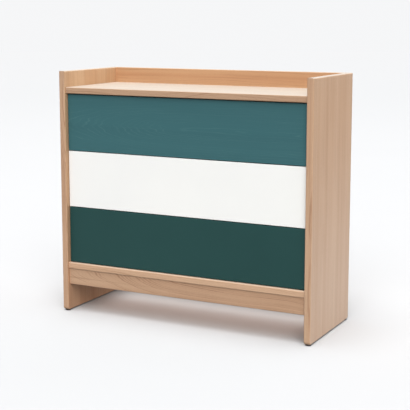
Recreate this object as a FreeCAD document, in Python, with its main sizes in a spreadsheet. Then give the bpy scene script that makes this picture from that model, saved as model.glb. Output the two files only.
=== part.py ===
import FreeCAD, Part
import os
from types import SimpleNamespace

import Sketcher
from FreeCAD import Placement, Rotation, Vector

# A chest of three inset drawers between two full-height side panels, in millimetres.
# X runs to the right, the drawers open towards -Y, Z is up, and the origin lies on the
# floor under the middle of the chest.

doc = FreeCAD.newDocument("ThreeDrawerChest")

DRIVING_SIZES = [
    ("overall_width", "1000", "across the outer faces of the side panels"),
    ("overall_depth", "380", "front to back of the side panels"),
    ("panel_height", "900", "height of a side panel"),
    ("side_thickness", "24", "thickness of a side panel"),
    ("side_edge_radius", "4", "rounding along the faces of a side panel"),
    ("side_corner_radius", "11", "rounding of a side panel's lower corners"),
    ("gallery_height", "59", "depth of the tray formed above the top panel"),
    ("gallery_thickness", "22", "thickness of the gallery board"),
    ("top_thickness", "23", "thickness of the top panel"),
    ("bottom_thickness", "23", "thickness of the bottom panel"),
    ("board_edge_radius", "3", "rounding of the open edges of the boards"),
    ("board_setback", "8", "top and bottom panels behind the side panels' front edges"),
    ("floor_clearance", "99", "under the plinth, from the side panels' lower edges"),
    ("plinth_height", "61", "height of the plinth and of the rear rail"),
    ("plinth_thickness", "20", "thickness of the front plinth"),
    ("plinth_setback", "4", "plinth behind the bottom panel's front edge"),
    ("rail_thickness", "20", "thickness of the rear rail"),
    ("back_thickness", "8", "thickness of the back panel"),
    ("back_inset", "6", "back panel's rear face in from the side panels' rear edges"),
    ("back_groove_depth", "8", "groove for the back panel"),
    ("groove_clearance", "0.1", "each side of a panel in its groove"),
    ("groove_end_gap", "0.5", "between a panel's edge and the floor of its groove"),
    ("dowel_diameter", "8", "carcase dowel"),
    ("dowel_length", "35", "carcase dowel"),
    ("dowel_bite", "13", "length of a dowel inside the side panel"),
    ("dowel_inset", "45", "outermost dowel from a board's edge"),
    ("dowel_chamfer", "1", "ends of a dowel"),
    ("fit_clearance", "0.1", "round each dowel, cam and screw in its hole"),
    ("hole_end_gap", "0.5", "past the end of each dowel, nail and screw"),
    ("cam_diameter", "15", "cam housing"),
    ("cam_height", "12.4", "cam housing"),
    ("cam_distance", "34", "cam centre from the side panel's inner face"),
    ("cam_inset", "95", "cam centre from a board's edge"),
    ("cam_slot", "8", "length of the driver cross in a cam"),
    ("cam_slot_width", "1.6", "width of the driver cross in a cam"),
    ("cam_slot_depth", "2", "depth of the driver cross in a cam"),
    ("bolt_diameter", "7", "shoulder of a cam bolt"),
    ("bolt_thread_diameter", "5", "thread of a cam bolt"),
    ("bolt_thread_length", "11", "thread of a cam bolt in the side panel"),
    ("bolt_neck_diameter", "4", "neck behind the bolt's head"),
    ("bolt_shoulder_length", "22", "shoulder from the side panel's inner face"),
    ("bolt_head_length", "3", "head of a cam bolt"),
    ("bolt_bore_clearance", "0.4", "round a bolt in the board's end"),
    ("screw_diameter", "3.5", "wood screw"),
    ("screw_head_diameter", "7", "wood screw"),
    ("screw_head_height", "2", "raised head of a wood screw"),
    ("back_screw_length", "25", "screw through the back panel"),
    ("back_screw_pitch", "190", "between the back panel's screws"),
    ("runner_screw_length", "14", "runner screw beyond the rail"),
    ("drawer_screw_length", "11", "drawer rail screw beyond the rail"),
    ("countersink_angle", "40", "slope of a runner screw's head"),
    ("glide_diameter", "20", "floor glide"),
    ("glide_height", "4", "floor glide"),
    ("glide_edge_radius", "1", "lower edge of a glide"),
    ("glide_inset", "16", "glide centre from the panel's front or rear edge"),
    ("nail_diameter", "2.4", "nail of a floor glide"),
    ("nail_length", "15", "nail of a floor glide"),
    ("front_setback", "18", "drawer fronts behind the side panels' front edges"),
    ("front_thickness", "19", "drawer front"),
    ("front_gap", "3", "above, between and below the drawer fronts"),
    ("front_side_gap", "2", "between a drawer front and a side panel"),
    ("front_edge_radius", "1", "edges of a drawer front"),
    ("push_travel", "3", "a front is pressed in this far to open it"),
    ("drawer_travel", "240", "a drawer opens this far"),
    ("box_thickness", "15", "sides, back and sub-front of a drawer box"),
    ("box_lift", "24", "drawer box above the lower edge of its front"),
    ("box_head_gap", "34", "drawer box below the upper edge of its front"),
    ("box_back_gap", "14", "drawer box in front of the back panel"),
    ("box_bottom_thickness", "6", "drawer bottom"),
    ("box_bottom_lift", "10", "drawer bottom above the lower edge of the box"),
    ("box_groove_depth", "7", "groove for the drawer bottom"),
    ("pin_width", "18", "between two dovetails at their wide ends"),
    ("tail_slope", "2.5", "how far each flank of a dovetail leans"),
    ("front_screw_bite", "12", "screw inside the drawer front"),
    ("front_screw_spread", "340", "front screws from the middle of the drawer"),
    ("front_screw_margin", "35", "front screws from the edges of the sub-front"),
    ("runner_space", "13", "between a drawer box and a side panel"),
    ("runner_height", "45.5", "cabinet rail"),
    ("runner_offset", "1", "rails behind a drawer front that is pressed in"),
    ("runner_back_gap", "6.6", "cabinet rails in front of the back panel"),
    ("runner_rise", "60", "middle of a runner above the lower edge of the box"),
    ("sheet_thickness", "1.2", "steel of the rails"),
    ("ball_diameter", "3.6", "runner ball"),
    ("ball_clearance", "0.1", "round a ball between two rails"),
    ("cage_margin", "10", "rail left beyond a ball cage when the drawer is fully open"),
    ("cage_thickness", "0.8", "strip of a ball cage"),
    ("cage_clearance", "0.3", "between a ball cage and a rail"),
    ("ball_margin", "9", "outermost ball from the end of its cage"),
    ("push_unit_length", "65", "push-to-open unit"),
    ("push_unit_height", "28", "push-to-open unit"),
    ("push_unit_depth", "9", "push-to-open unit"),
    ("push_unit_radius", "2", "edges of a push-to-open unit"),
    ("push_gap", "0.4", "between a drawer rail pressed home and the push-to-open unit"),
]

BALL_COUNT = 4
TAIL_COUNT = 3
DRAWERS = ("upper", "centre", "lower")

sheet = doc.addObject("Spreadsheet::Sheet", "dim")
for row, (alias, number, meaning) in enumerate(DRIVING_SIZES, 1):
    sheet.set(f"A{row}", alias)
    sheet.set(f"B{row}", number)
    sheet.set(f"C{row}", meaning)
    sheet.setAlias(f"B{row}", alias)
doc.recompute()


class Size:
    """A length with its value now and the sheet expression that it follows."""

    def __init__(self, value, text):
        self.value = value
        self.text = text

    def joined(self, other, sign, value):
        return Size(value, f"({self.text} {sign} {as_size(other).text})")

    def __add__(self, other):
        return self.joined(other, "+", self.value + as_size(other).value)

    def __sub__(self, other):
        return self.joined(other, "-", self.value - as_size(other).value)

    def __mul__(self, other):
        return self.joined(other, "*", self.value * as_size(other).value)

    def __truediv__(self, other):
        return self.joined(other, "/", self.value / as_size(other).value)

    def __neg__(self):
        return Size(-self.value, f"(-1 * {self.text})")


def as_size(number):
    return number if isinstance(number, Size) else Size(float(number), repr(float(number)))


dim = SimpleNamespace(**{alias: Size(float(sheet.get(alias)), f"dim.{alias}") for alias, *_ in DRIVING_SIZES})
zero = as_size(0)
nodes = []


def bind(thing, name, size):
    """Let a property of a document object follow a size."""
    thing.setExpression(name, size.text)


def new_body(label):
    """A named piece; it may hold several equal solids, as a set of screws does."""
    body = doc.addObject("PartDesign::Body", label)
    body.Label = label
    body.AllowCompound = True
    nodes.append(body)
    return body


def origin_part(body, role):
    return next(part for part in body.Origin.OriginFeatures if part.Role == role)


def sketch_at(body, role, level):
    """An empty sketch parallel to an origin plane, at a level along that plane's axis."""
    offset = -level if role == "XZ_Plane" else level
    sketch = body.newObject("Sketcher::SketchObject", "Sketch")
    sketch.AttachmentSupport = (origin_part(body, role), [""])
    sketch.MapMode = "FlatFace"
    sketch.AttachmentOffset = Placement(Vector(0, 0, offset.value), Rotation())
    bind(sketch, "AttachmentOffset.Base.z", offset)
    return sketch


def hold_point(sketch, geometry, end, point):
    """Hold one point of a sketch by its two distances from the sketch's origin."""
    for kind, size in zip(("DistanceX", "DistanceY"), point):
        number = sketch.addConstraint(Sketcher.Constraint(kind, -1, 1, geometry, end, size.value))
        bind(sketch, f"Constraints[{number}]", size)


def draw_polygon(sketch, points):
    """A closed outline of straight edges with every corner held."""
    first = sketch.GeometryCount
    count = len(points)
    corners = [Vector(across.value, along.value, 0) for across, along in points]
    for index in range(count):
        edge = Part.LineSegment(corners[index], corners[(index + 1) % count])
        sketch.addGeometry(edge, False)
    for index in range(count):
        following = first + (index + 1) % count
        sketch.addConstraint(Sketcher.Constraint("Coincident", first + index, 2, following, 1))
        hold_point(sketch, first + index, 1, points[index])


def draw_rectangle(sketch, across, along):
    low, high = across
    draw_polygon(sketch, [(low, along[0]), (high, along[0]), (high, along[1]), (low, along[1])])


def draw_circles(sketch, centres, radius):
    """Equal circles with their centres held."""
    for centre in centres:
        place = Vector(centre[0].value, centre[1].value, 0)
        circle = sketch.addGeometry(Part.Circle(place, Vector(0, 0, 1), radius.value), False)
        hold_point(sketch, circle, 3, centre)
        number = sketch.addConstraint(Sketcher.Constraint("Radius", circle, radius.value))
        bind(sketch, f"Constraints[{number}]", radius)


def runs_backwards(sketch, toward):
    """True where a feature has to be turned round to run towards +1 or -1 along the axis."""
    faces_minus = sketch.AttachmentSupport[0][0].Role == "XZ_Plane"
    return (toward < 0) != faces_minus


def pad(body, sketch, length, toward=1, taper=None):
    """Raise a sketch into the body, towards +1 or -1 along the axis of the sketch's plane."""
    feature = body.newObject("PartDesign::Pad", "Pad")
    feature.Profile = sketch
    feature.Reversed = runs_backwards(sketch, toward)
    bind(feature, "Length", length)
    if taper is not None:
        bind(feature, "TaperAngle", taper)
    doc.recompute()
    return feature


def pocket(body, sketch, depth, toward, taper=None):
    """Cut a sketch into the body, towards +1 or -1 along the axis of the sketch's plane."""
    before = body.Shape.Volume
    feature = body.newObject("PartDesign::Pocket", "Pocket")
    feature.Profile = sketch
    feature.Reversed = not runs_backwards(sketch, toward)
    bind(feature, "Length", depth)
    if taper is not None:
        bind(feature, "TaperAngle", taper)
    doc.recompute()
    if body.Shape.Volume > before - 0.5:
        raise RuntimeError(f"{body.Label}: a pocket misses the piece")
    return feature


def drill(body, role, level, centres, radius, depth, toward):
    """Equal round holes square to an origin plane."""
    sketch = sketch_at(body, role, level)
    draw_circles(sketch, centres, radius)
    return pocket(body, sketch, depth, toward)


def round_edges(body, radius, wanted, kind="Fillet"):
    """Fillet or chamfer the edges whose bounding boxes satisfy a test."""
    base = body.Tip
    names = [f"Edge{number}" for number, edge in enumerate(base.Shape.Edges, 1) if wanted(edge.BoundBox)]
    feature = body.newObject(f"PartDesign::{kind}", kind)
    feature.Base = (base, names)
    bind(feature, "Radius" if kind == "Fillet" else "Size", radius)
    doc.recompute()
    return feature


def near(value, size):
    return abs(value - size.value) < 0.01


def board(label, x, y, z):
    """A rectangular board between two limits along each axis."""
    body = new_body(label)
    sketch = sketch_at(body, "XY_Plane", z[0])
    draw_rectangle(sketch, x, y)
    pad(body, sketch, z[1] - z[0])
    return body


def middle(span):
    return (span[0] + span[1]) / 2


# Places that several pieces share
outer_half = dim.overall_width / 2
inner_half = outer_half - dim.side_thickness
front_edge = -dim.overall_depth / 2
back_edge = dim.overall_depth / 2
between_sides = (-inner_half, inner_half)

panel_foot = dim.glide_height
panel_head = panel_foot + dim.panel_height
plinth_foot = panel_foot + dim.floor_clearance
bottom_under = plinth_foot + dim.plinth_height
bottom_upper = bottom_under + dim.bottom_thickness
top_upper = panel_head - dim.gallery_height
top_under = top_upper - dim.top_thickness

board_front = front_edge + dim.board_setback
gallery_front = back_edge - dim.gallery_thickness
back_rear = back_edge - dim.back_inset
back_face = back_rear - dim.back_thickness
groove_span = (back_face - dim.groove_clearance, back_rear + dim.groove_clearance)
gallery_groove = top_under + dim.back_groove_depth

top_y = (board_front, gallery_front)
bottom_y = (board_front, back_face)
plinth_y = (board_front + dim.plinth_setback, board_front + dim.plinth_setback + dim.plinth_thickness)
rail_y = (back_face - dim.rail_thickness, back_face)
gallery_y = (gallery_front, back_edge)
top_z = (top_under, top_upper)
bottom_z = (bottom_under, bottom_upper)
plinth_z = (plinth_foot, bottom_under)
gallery_z = (top_under, panel_head)

front_face = front_edge + dim.front_setback
box_front = front_face + dim.front_thickness
box_back = back_face - dim.box_back_gap
front_height = (top_under - bottom_upper - dim.front_gap * (len(DRAWERS) + 1)) / len(DRAWERS)
front_pitch = front_height + dim.front_gap
box_height = front_height - dim.box_lift - dim.box_head_gap
front_feet = [bottom_upper + dim.front_gap + front_pitch * step for step in reversed(range(len(DRAWERS)))]
box_half = inner_half - dim.runner_space
runner_height_in_drawer = dim.box_lift + dim.runner_rise
runner_middles = [foot + runner_height_in_drawer for foot in front_feet]
runner_front = box_front + dim.push_travel + dim.runner_offset
cabinet_rail_back = back_face - dim.runner_back_gap
push_front = cabinet_rail_back - dim.push_unit_length
runner_length = push_front - dim.push_gap - dim.push_travel - runner_front
screw_radius = dim.screw_diameter / 2
screw_hole = screw_radius + dim.fit_clearance
cabinet_screw_y = [
    runner_front + runner_length / 10,
    runner_front + runner_length / 2,
    push_front + dim.push_unit_length / 2,
]
drawer_screw_y = [runner_front + runner_length * share for share in (0.15, 0.5, 0.85)]

# Dowels and cam bolts stand in the side panels' inner faces, listed as (y, z)
dowel_places = {
    "top_panel": [
        (top_y[0] + dim.dowel_inset, middle(top_z)),
        (middle(top_y), middle(top_z)),
        (top_y[1] - dim.dowel_inset, middle(top_z)),
    ],
    "bottom_panel": [
        (bottom_y[0] + dim.dowel_inset, middle(bottom_z)),
        (middle(bottom_y), middle(bottom_z)),
        (bottom_y[1] - dim.dowel_inset, middle(bottom_z)),
    ],
    "front_plinth": [(middle(plinth_y), plinth_foot + dim.plinth_height * share) for share in (0.25, 0.75)],
    "rear_rail": [(middle(rail_y), plinth_foot + dim.plinth_height * share) for share in (0.25, 0.75)],
    "back_gallery": [
        (middle(gallery_y), top_under + (panel_head - top_under) * share) for share in (0.3, 0.75)
    ],
}
bolt_places = {
    "top_panel": [(top_y[0] + dim.cam_inset, middle(top_z)), (top_y[1] - dim.cam_inset, middle(top_z))],
    "bottom_panel": [
        (bottom_y[0] + dim.cam_inset, middle(bottom_z)),
        (bottom_y[1] - dim.cam_inset, middle(bottom_z)),
    ],
}
all_dowels = [place for places in dowel_places.values() for place in places]
all_bolts = [place for places in bolt_places.values() for place in places]
dowel_hole = dim.dowel_diameter / 2 + dim.fit_clearance
cam_hole = dim.cam_diameter / 2
bolt_bore = dim.bolt_diameter / 2 + dim.bolt_bore_clearance
bolt_reach = dim.cam_distance + dim.bolt_head_length / 2
nail_hole = dim.nail_diameter / 2 + dim.fit_clearance
glide_y = [front_edge + dim.glide_inset, back_edge - dim.glide_inset]
glide_x = outer_half - dim.side_thickness / 2


# Side panels: full-height boards with softened edges, grooved and drilled on their inner faces
for label, side in (("side_panel_left", -1), ("side_panel_right", 1)):
    panel = new_body(label)
    inner = inner_half * side
    outer = outer_half * side
    low = outer if side < 0 else inner
    sketch = sketch_at(panel, "YZ_Plane", low)
    draw_rectangle(sketch, (front_edge, back_edge), (panel_foot, panel_head))
    pad(panel, sketch, dim.side_thickness)
    round_edges(panel, dim.side_corner_radius, lambda box: near(box.ZMax, panel_foot) and box.XLength > 1)
    round_edges(panel, dim.side_edge_radius, lambda box: box.XLength < 0.01)
    sketch = sketch_at(panel, "YZ_Plane", inner)
    draw_rectangle(sketch, groove_span, (bottom_under - dim.groove_end_gap, gallery_groove))
    pocket(panel, sketch, dim.back_groove_depth, side)
    drill(panel, "YZ_Plane", inner, all_dowels, dowel_hole, dim.dowel_bite + dim.hole_end_gap, side)
    thread_hole = dim.bolt_thread_diameter / 2 + dim.fit_clearance
    drill(panel, "YZ_Plane", inner, all_bolts, thread_hole, dim.bolt_thread_length + dim.hole_end_gap, side)
    screw_places = [(y, z) for z in runner_middles for y in cabinet_screw_y]
    screw_depth = dim.runner_screw_length + dim.hole_end_gap
    drill(panel, "YZ_Plane", inner, screw_places, screw_hole, screw_depth, side)
    nail_places = [(glide_x * side, y) for y in glide_y]
    drill(panel, "XY_Plane", panel_foot, nail_places, nail_hole, dim.nail_length + dim.hole_end_gap, 1)


def drill_ends(body, dowels, bolts=()):
    """Holes for dowels and cam bolts in both ends of a board that lies between the side panels."""
    for side in (-1, 1):
        end = inner_half * side
        depth = dim.dowel_length - dim.dowel_bite + dim.hole_end_gap
        drill(body, "YZ_Plane", end, dowels, dowel_hole, depth, -side)
        if bolts:
            drill(body, "YZ_Plane", end, bolts, bolt_bore, bolt_reach + dim.hole_end_gap, -side)


def drill_cams(body, under, bolts):
    """Blind holes for cam housings in the underside of a board."""
    distance = inner_half - dim.cam_distance
    centres = [(distance * side, y) for side in (-1, 1) for y, _ in bolts]
    drill(body, "XY_Plane", under, centres, cam_hole, dim.cam_height + dim.hole_end_gap, 1)


# Top panel: the floor of the tray
top = board("top_panel", between_sides, top_y, top_z)
round_edges(top, dim.board_edge_radius, lambda box: near(box.YMax, board_front) and box.XLength > 1)
drill_ends(top, dowel_places["top_panel"], bolt_places["top_panel"])
drill_cams(top, top_under, bolt_places["top_panel"])

# Bottom panel: closes the drawer bay and carries the back panel's screws in its rear edge
bottom = board("bottom_panel", between_sides, bottom_y, bottom_z)
round_edges(bottom, dim.board_edge_radius, lambda box: near(box.YMax, board_front) and box.XLength > 1)
drill_ends(bottom, dowel_places["bottom_panel"], bolt_places["bottom_panel"])
drill_cams(bottom, bottom_under, bolt_places["bottom_panel"])
back_screw_places = [(dim.back_screw_pitch * step, middle(bottom_z)) for step in (-2, -1, 0, 1, 2)]
back_screw_bite = dim.back_screw_length - dim.back_thickness
drill(bottom, "XZ_Plane", back_face, back_screw_places, screw_hole, back_screw_bite + dim.hole_end_gap, -1)

# Gallery: the board behind the tray, level with the side panels, grooved below for the back panel
gallery = board("back_gallery", between_sides, gallery_y, gallery_z)
round_edges(gallery, dim.board_edge_radius, lambda box: near(box.ZMin, panel_head) and box.XLength > 1)
sketch = sketch_at(gallery, "XY_Plane", top_under)
draw_rectangle(sketch, between_sides, groove_span)
pocket(gallery, sketch, dim.back_groove_depth, 1)
drill_ends(gallery, dowel_places["back_gallery"])

# Back panel: a thin board held in grooves on three edges and screwed along the fourth
back_half = inner_half + dim.back_groove_depth - dim.groove_end_gap
back_z = (bottom_under, gallery_groove - dim.groove_end_gap)
back = board("back_panel", (-back_half, back_half), (back_face, back_rear), back_z)
drill(back, "XZ_Plane", back_rear, back_screw_places, screw_hole, dim.back_thickness, -1)

# Front plinth and rear rail: upright boards under the bottom panel
plinth = board("front_plinth", between_sides, plinth_y, plinth_z)
round_edges(plinth, dim.board_edge_radius, lambda box: near(box.ZMax, plinth_foot) and box.XLength > 1)
drill_ends(plinth, dowel_places["front_plinth"])
rail = board("rear_rail", between_sides, rail_y, plinth_z)
round_edges(rail, dim.board_edge_radius, lambda box: near(box.ZMax, plinth_foot) and box.XLength > 1)
drill_ends(rail, dowel_places["rear_rail"])

# Dowels: glued half into a board's end and half into the side panel
dowels = new_body("carcase_dowels")
for side in (-1, 1):
    sketch = sketch_at(dowels, "YZ_Plane", (inner_half + dim.dowel_bite) * side)
    draw_circles(sketch, all_dowels, dim.dowel_diameter / 2)
    pad(dowels, sketch, dim.dowel_length, -side)
round_edges(dowels, dim.dowel_chamfer, lambda box: box.XLength < 0.01, "Chamfer")

# Cam bolts: threaded into the side panels, each with a shoulder, a neck and a head for its cam
bolts = new_body("cam_bolts")
for side in (-1, 1):
    sections = [
        (-dim.bolt_thread_length, dim.bolt_thread_diameter, dim.bolt_thread_length),
        (zero, dim.bolt_diameter, dim.bolt_shoulder_length),
        (dim.bolt_shoulder_length, dim.bolt_neck_diameter, bolt_reach - dim.bolt_shoulder_length),
        (bolt_reach - dim.bolt_head_length, dim.bolt_diameter, dim.bolt_head_length),
    ]
    for start, diameter, length in sections:
        sketch = sketch_at(bolts, "YZ_Plane", (inner_half - start) * side)
        draw_circles(sketch, all_bolts, diameter / 2)
        pad(bolts, sketch, length, -side)

# Cam housings: round blocks let into the undersides, slotted for the bolts and crossed for a driver
cams = new_body("cam_housings")
cam_x = inner_half - dim.cam_distance
for under, name in ((top_under, "top_panel"), (bottom_under, "bottom_panel")):
    centres = [(cam_x * side, y) for side in (-1, 1) for y, _ in bolt_places[name]]
    sketch = sketch_at(cams, "XY_Plane", under)
    draw_circles(sketch, centres, dim.cam_diameter / 2 - dim.fit_clearance)
    pad(cams, sketch, dim.cam_height)
    long_half = dim.cam_slot / 2
    short_half = dim.cam_slot_width / 2
    for half_x, half_y in ((long_half, short_half), (short_half, long_half)):
        sketch = sketch_at(cams, "XY_Plane", under)
        for x, y in centres:
            draw_rectangle(sketch, (x - half_x, x + half_x), (y - half_y, y + half_y))
        pocket(cams, sketch, dim.cam_slot_depth, 1)
for side in (-1, 1):
    sketch = sketch_at(cams, "YZ_Plane", (cam_x + dim.cam_diameter) * side)
    draw_circles(sketch, all_bolts, bolt_bore)
    pocket(cams, sketch, dim.cam_diameter + dim.bolt_diameter / 2, -side)

# Screws along the lower edge of the back panel
back_screws = new_body("back_screws")
sketch = sketch_at(back_screws, "XZ_Plane", back_rear)
draw_circles(sketch, back_screw_places, dim.screw_head_diameter / 2)
pad(back_screws, sketch, dim.screw_head_height, 1)
sketch = sketch_at(back_screws, "XZ_Plane", back_rear)
draw_circles(sketch, back_screw_places, screw_radius)
pad(back_screws, sketch, dim.back_screw_length, -1)

# Floor glides: dark discs, each nailed into the foot of a side panel
glides = new_body("floor_glides")
glide_places = [(glide_x * side, y) for side in (-1, 1) for y in glide_y]
sketch = sketch_at(glides, "XY_Plane", zero)
draw_circles(sketch, glide_places, dim.glide_diameter / 2)
pad(glides, sketch, dim.glide_height)
round_edges(glides, dim.glide_edge_radius, lambda box: near(box.ZMax, zero))
sketch = sketch_at(glides, "XY_Plane", dim.glide_height)
draw_circles(sketch, glide_places, dim.nail_diameter / 2)
pad(glides, sketch, dim.nail_length)


def countersunk_screws(body, side, head_level, centres, length, toward):
    """Flush-headed screws along X: a tapered head as thick as a rail's steel, then the shank."""
    sketch = sketch_at(body, "YZ_Plane", head_level * side)
    draw_circles(sketch, centres, dim.screw_head_diameter / 2)
    pad(body, sketch, dim.sheet_thickness, toward * side, -dim.countersink_angle)
    sketch = sketch_at(body, "YZ_Plane", head_level * side)
    draw_circles(sketch, centres, screw_radius)
    pad(body, sketch, length + dim.sheet_thickness, toward * side)


def countersink(body, side, face_level, centres, toward):
    """Tapered holes through a rail's steel, a fit clearance wider than the screw heads."""
    sketch = sketch_at(body, "YZ_Plane", face_level * side)
    draw_circles(sketch, centres, dim.screw_head_diameter / 2 + dim.fit_clearance)
    pocket(body, sketch, dim.sheet_thickness, toward * side, -dim.countersink_angle)


# Screws of the cabinet rails, flush with the steel
runner_screws = new_body("runner_screws")
rail_screw_places = [(y, z) for z in runner_middles for y in cabinet_screw_y]
rail_inner_face = inner_half - dim.sheet_thickness
for side in (-1, 1):
    countersunk_screws(runner_screws, side, rail_inner_face, rail_screw_places, dim.runner_screw_length, 1)

# Runner section, in distances from the side panel's inner face and from the runner's middle
steel = dim.sheet_thickness
race = dim.ball_diameter / 2 + dim.ball_clearance
roll = race + steel
outer_row = (roll, dim.runner_height / 2 - roll)
flange_upper = outer_row[1] - race
flange_lower = flange_upper - steel
inner_row = (dim.runner_space - roll, flange_lower - race)
outer_cage_x = steel + dim.cage_clearance
middle_web = outer_cage_x + dim.cage_thickness + dim.cage_clearance
middle_lip = dim.runner_space - steel - dim.cage_clearance
bend_radius = race - dim.ball_clearance


def mirrored_section(half):
    """A section closed by its own mirror image below the runner's middle."""
    return half + [(across, -along) for across, along in reversed(half)]


def draw_section(sketch, side, points):
    """An outline in a runner's section, set off from the side panel's inner face."""
    draw_polygon(sketch, [((inner_half - across) * side, along) for across, along in points])


def is_bend(box, side, places):
    """True for an edge along Y at one of the listed places of the runner's section."""
    return box.YLength > 1 and any(
        near(box.XMin, (inner_half - across) * side) and near(abs(box.ZMin), along)
        for across, along in places
    )


rail_head = outer_row[1] + roll
cabinet_section = mirrored_section([
    (zero, rail_head),
    (roll + roll, rail_head),
    (roll + roll, outer_row[1]),
    (roll + race, outer_row[1]),
    (roll + race, rail_head - steel),
    (steel, rail_head - steel),
])
middle_section = mirrored_section([
    (middle_web, flange_upper),
    (middle_lip, flange_upper),
    (middle_lip, flange_lower),
    (middle_web + steel, flange_lower),
])
trough = inner_row[1] - roll
drawer_section = mirrored_section([
    (dim.runner_space, inner_row[1]),
    (dim.runner_space - steel, inner_row[1]),
    (dim.runner_space - steel, trough + steel),
    (inner_row[0] - race, trough + steel),
    (inner_row[0] - race, inner_row[1]),
    (inner_row[0] - roll, inner_row[1]),
    (inner_row[0] - roll, trough),
    (dim.runner_space - steel, trough),
])
outer_bends = [(zero, rail_head), (roll + roll, rail_head)]
inner_bends = [(steel, rail_head - steel), (roll + race, rail_head - steel)]
middle_bend = [(middle_web, flange_upper)]
trough_bends = [(inner_row[0] - race, trough + steel), (dim.runner_space - steel, trough + steel)]
trough_outer_bend = [(inner_row[0] - roll, trough)]

for name, centre, foot in zip(DRAWERS, runner_middles, front_feet):
    for hand, side in (("left", -1), ("right", 1)):
        # Cabinet rail: a rolled channel screwed to the side panel, with the outer ball races
        rail = new_body(f"{name}_runner_{hand}_cabinet_rail")
        sketch = sketch_at(rail, "XZ_Plane", runner_front)
        draw_section(sketch, side, cabinet_section)
        pad(rail, sketch, cabinet_rail_back - runner_front, 1)
        round_edges(rail, bend_radius + steel, lambda box: is_bend(box, side, outer_bends))
        round_edges(rail, bend_radius, lambda box: is_bend(box, side, inner_bends))
        countersink(rail, side, inner_half - steel, [(y, zero) for y in cabinet_screw_y], 1)
        bind(rail, "Placement.Base.z", centre)

        # Middle rail: a plain channel running on the outer balls and carrying the inner ones
        rail = new_body(f"{name}_runner_{hand}_middle_rail")
        sketch = sketch_at(rail, "XZ_Plane", runner_front)
        draw_section(sketch, side, middle_section)
        pad(rail, sketch, runner_length, 1)
        round_edges(rail, steel, lambda box: is_bend(box, side, middle_bend))
        bind(rail, "Placement.Base.z", centre)

        # Drawer rail: screwed to the drawer box, with a trough for each inner row of balls
        rail = new_body(f"{name}_runner_{hand}_drawer_rail")
        sketch = sketch_at(rail, "XZ_Plane", runner_front)
        draw_section(sketch, side, drawer_section)
        pad(rail, sketch, runner_length, 1)
        round_edges(rail, bend_radius, lambda box: is_bend(box, side, trough_bends))
        round_edges(rail, bend_radius + steel, lambda box: is_bend(box, side, trough_outer_bend))
        hole_places = [(y, zero) for y in drawer_screw_y]
        countersink(rail, side, inner_half - dim.runner_space + steel, hole_places, -1)
        bind(rail, "Placement.Base.z", centre)

    # Ball cages: strips that keep the balls apart, one pair for each row
    cage_length = runner_length - dim.drawer_travel / 2 - dim.cage_margin
    cage_front = runner_front + (runner_length - cage_length) / 2
    first_ball = cage_front + dim.ball_margin
    thin = dim.cage_thickness
    inner_cage_x = middle_web + steel + dim.cage_clearance * 2
    arm_low = inner_row[1] + dim.cage_clearance
    outer_strip = mirrored_section([(outer_cage_x, outer_row[1]), (outer_cage_x + thin, outer_row[1])])
    inner_strip = mirrored_section([
        (inner_cage_x, arm_low + thin),
        (inner_row[0], arm_low + thin),
        (inner_row[0], arm_low),
        (inner_cage_x + thin, arm_low),
    ])
    for label, row, strip in (("outer", outer_row, outer_strip), ("inner", inner_row, inner_strip)):
        cages = new_body(f"{name}_runner_{label}_cages")
        for side in (-1, 1):
            sketch = sketch_at(cages, "XZ_Plane", cage_front)
            draw_section(sketch, side, strip)
            pad(cages, sketch, cage_length, 1)
        balls = []
        for side in (-1, 1):
            for above in (-1, 1):
                ball = cages.newObject("PartDesign::AdditiveSphere", "Ball")
                bind(ball, "Radius", dim.ball_diameter / 2)
                bind(ball, "Placement.Base.x", (inner_half - row[0]) * side)
                bind(ball, "Placement.Base.y", first_ball)
                bind(ball, "Placement.Base.z", row[1] * above)
                balls.append(ball)
        doc.recompute()
        pattern = cages.newObject("PartDesign::LinearPattern", "BallRow")
        pattern.Originals = balls
        pattern.Direction = (origin_part(cages, "Y_Axis"), [""])
        pattern.Occurrences = BALL_COUNT
        bind(pattern, "Length", cage_length - dim.ball_margin * 2)
        cages.Tip = pattern
        bind(cages, "Placement.Base.z", centre)
        doc.recompute()

# Push-to-open units: closed blocks in the rear ends of the cabinet rails
push_units = new_body("push_units")
unit_seat = inner_half - steel
unit_face = unit_seat - dim.push_unit_depth
for reach in ((-unit_seat, -unit_face), (unit_face, unit_seat)):
    for centre in runner_middles:
        sketch = sketch_at(push_units, "XY_Plane", centre - dim.push_unit_height / 2)
        draw_rectangle(sketch, reach, (push_front, cabinet_rail_back))
        pad(push_units, sketch, dim.push_unit_height)
round_edges(push_units, dim.push_unit_radius, lambda box: box.YLength > 1 and near(abs(box.XMin), unit_face))

# Drawers, each in heights above the lower edge of its front
box_z = (dim.box_lift, dim.box_lift + box_height)
box_inner = box_half - dim.box_thickness
sub_front_y = (box_front, box_front + dim.box_thickness)
box_back_y = (box_back - dim.box_thickness, box_back)
bottom_groove = (
    box_z[0] + dim.box_bottom_lift - dim.groove_clearance,
    box_z[0] + dim.box_bottom_lift + dim.box_bottom_thickness + dim.groove_clearance,
)
groove_half = box_inner + dim.box_groove_depth
groove_y = (sub_front_y[1] - dim.box_groove_depth, box_back_y[0] + dim.box_groove_depth)
front_screw_places = [
    (dim.front_screw_spread * step, height)
    for step in (-1, 1)
    for height in (box_z[0] + dim.front_screw_margin, box_z[1] - dim.front_screw_margin)
]
tail_pitch = box_height / TAIL_COUNT


def tail(index, root, end):
    """Corners of one dovetail, from its lower root corner round to its upper one, as (y, z)."""
    centre = box_z[0] + tail_pitch * (index + 0.5)
    wide = (tail_pitch - dim.pin_width) / 2
    slim = wide - dim.tail_slope
    return [(root, centre - slim), (end, centre - wide), (end, centre + wide), (root, centre + slim)]


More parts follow.
